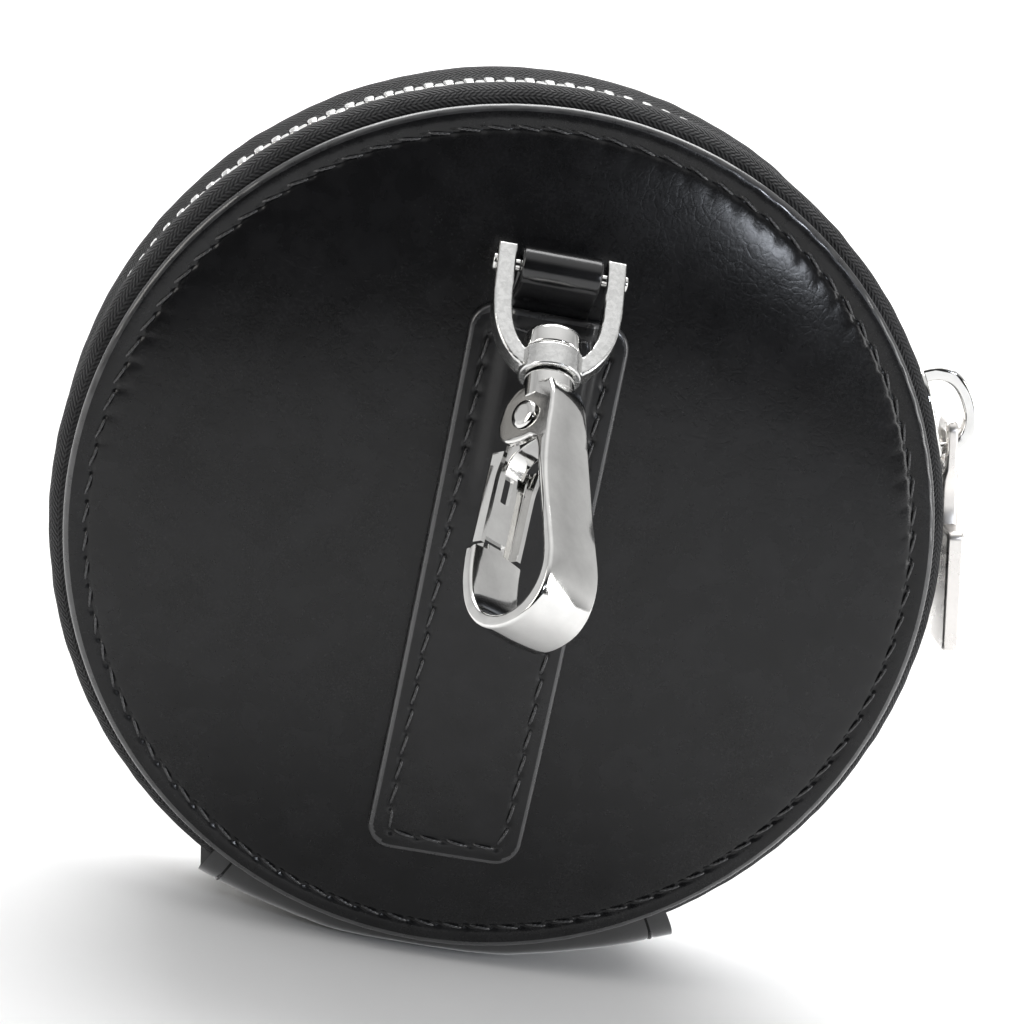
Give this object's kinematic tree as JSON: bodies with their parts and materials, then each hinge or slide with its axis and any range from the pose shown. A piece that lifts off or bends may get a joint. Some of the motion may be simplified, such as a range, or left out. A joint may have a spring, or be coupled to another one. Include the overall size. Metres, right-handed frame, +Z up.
{
  "type": "coin purse",
  "caption": "Round zip-around coin purse in glossy leather with a stitched strap patch, a leather loop carrying a swivel trigger clip, and a hanging zip pull.",
  "frame": {"origin": "centre of the flat under the leather base strip, midway between the two rims", "axes": "+Z up through the middle of the round panels, -Y out of the front with the strap patch, +X towards the side with the zip slider"},
  "size_m": [0.1094, 0.0688, 0.1038],
  "materials": {
    "leather": "glossy",
    "leather_edge": "satin",
    "tape": "matt",
    "lining": "matt",
    "board": "matt",
    "thread": "satin",
    "chrome": "polished",
    "steel": "satin"
  },
  "bodies": {
    "back_half": {"back_panel": "leather", "back_board": "board", "back_lining": "lining", "back_zip_tape": "tape", "back_teeth": "steel", "zip_end_stop_right": "steel", "zip_end_stop_left": "steel", "base_gusset": "leather", "base_lining": "lining", "back_rim_thread": "thread"},
    "front_half": {"front_panel": "leather", "front_board": "board", "front_lining": "lining", "front_zip_tape": "tape", "front_teeth": "steel", "base_gusset_front": "leather_edge", "front_rim_thread": "thread", "strap_patch": "leather", "patch_thread": "thread", "hanger_loop": "leather"},
    "slider": {"slider_body": "chrome", "slider_inner_plate": "steel"},
    "pull": {"pull_tag": "chrome"},
    "clip_shackle": {"shackle": "chrome", "shackle_pin": "chrome"},
    "clip_hook": {"hook_body": "chrome", "swivel_cap": "chrome", "gate_rivet": "chrome", "gate_spring": "steel"},
    "clip_gate": {"gate_lever": "chrome"}
  },
  "joints": [
    {"name": "front_open", "type": "hinge", "parent": "back_half", "child": "front_half", "pos_m": [0, -0.0102, 0.0021], "axis": [1, 0, 0], "range_deg": [0, 50]},
    {"name": "zip_slide", "type": "hinge", "parent": "back_half", "child": "slider", "pos_m": [0, 0, 0.052], "axis": [0, 1, 0], "range_deg": [-196, 48]},
    {"name": "pull_swing", "type": "hinge", "parent": "slider", "child": "pull", "pos_m": [0.05102, 0, 0.07241], "axis": [0, 1, 0], "range_deg": [-95, 1]},
    {"name": "clip_swing", "type": "hinge", "parent": "front_half", "child": "clip_shackle", "pos_m": [-0.0009, -0.019, 0.085], "axis": [1, 0, 0], "range_deg": [-100, 24]},
    {"name": "hook_swivel", "type": "hinge", "parent": "clip_shackle", "child": "clip_hook", "pos_m": [-0.0009, -0.02718, 0.07622], "axis": [0, -0.682, -0.7314], "continuous": true},
    {"name": "gate_open", "type": "hinge", "parent": "clip_hook", "child": "clip_gate", "pos_m": [-0.00096, -0.03224, 0.07068], "axis": [-0.809, -0.4299, 0.4009], "range_deg": [0, 25], "stiffness_Nm_per_rad": 0.015, "springref_deg": -17.19}
  ]
}
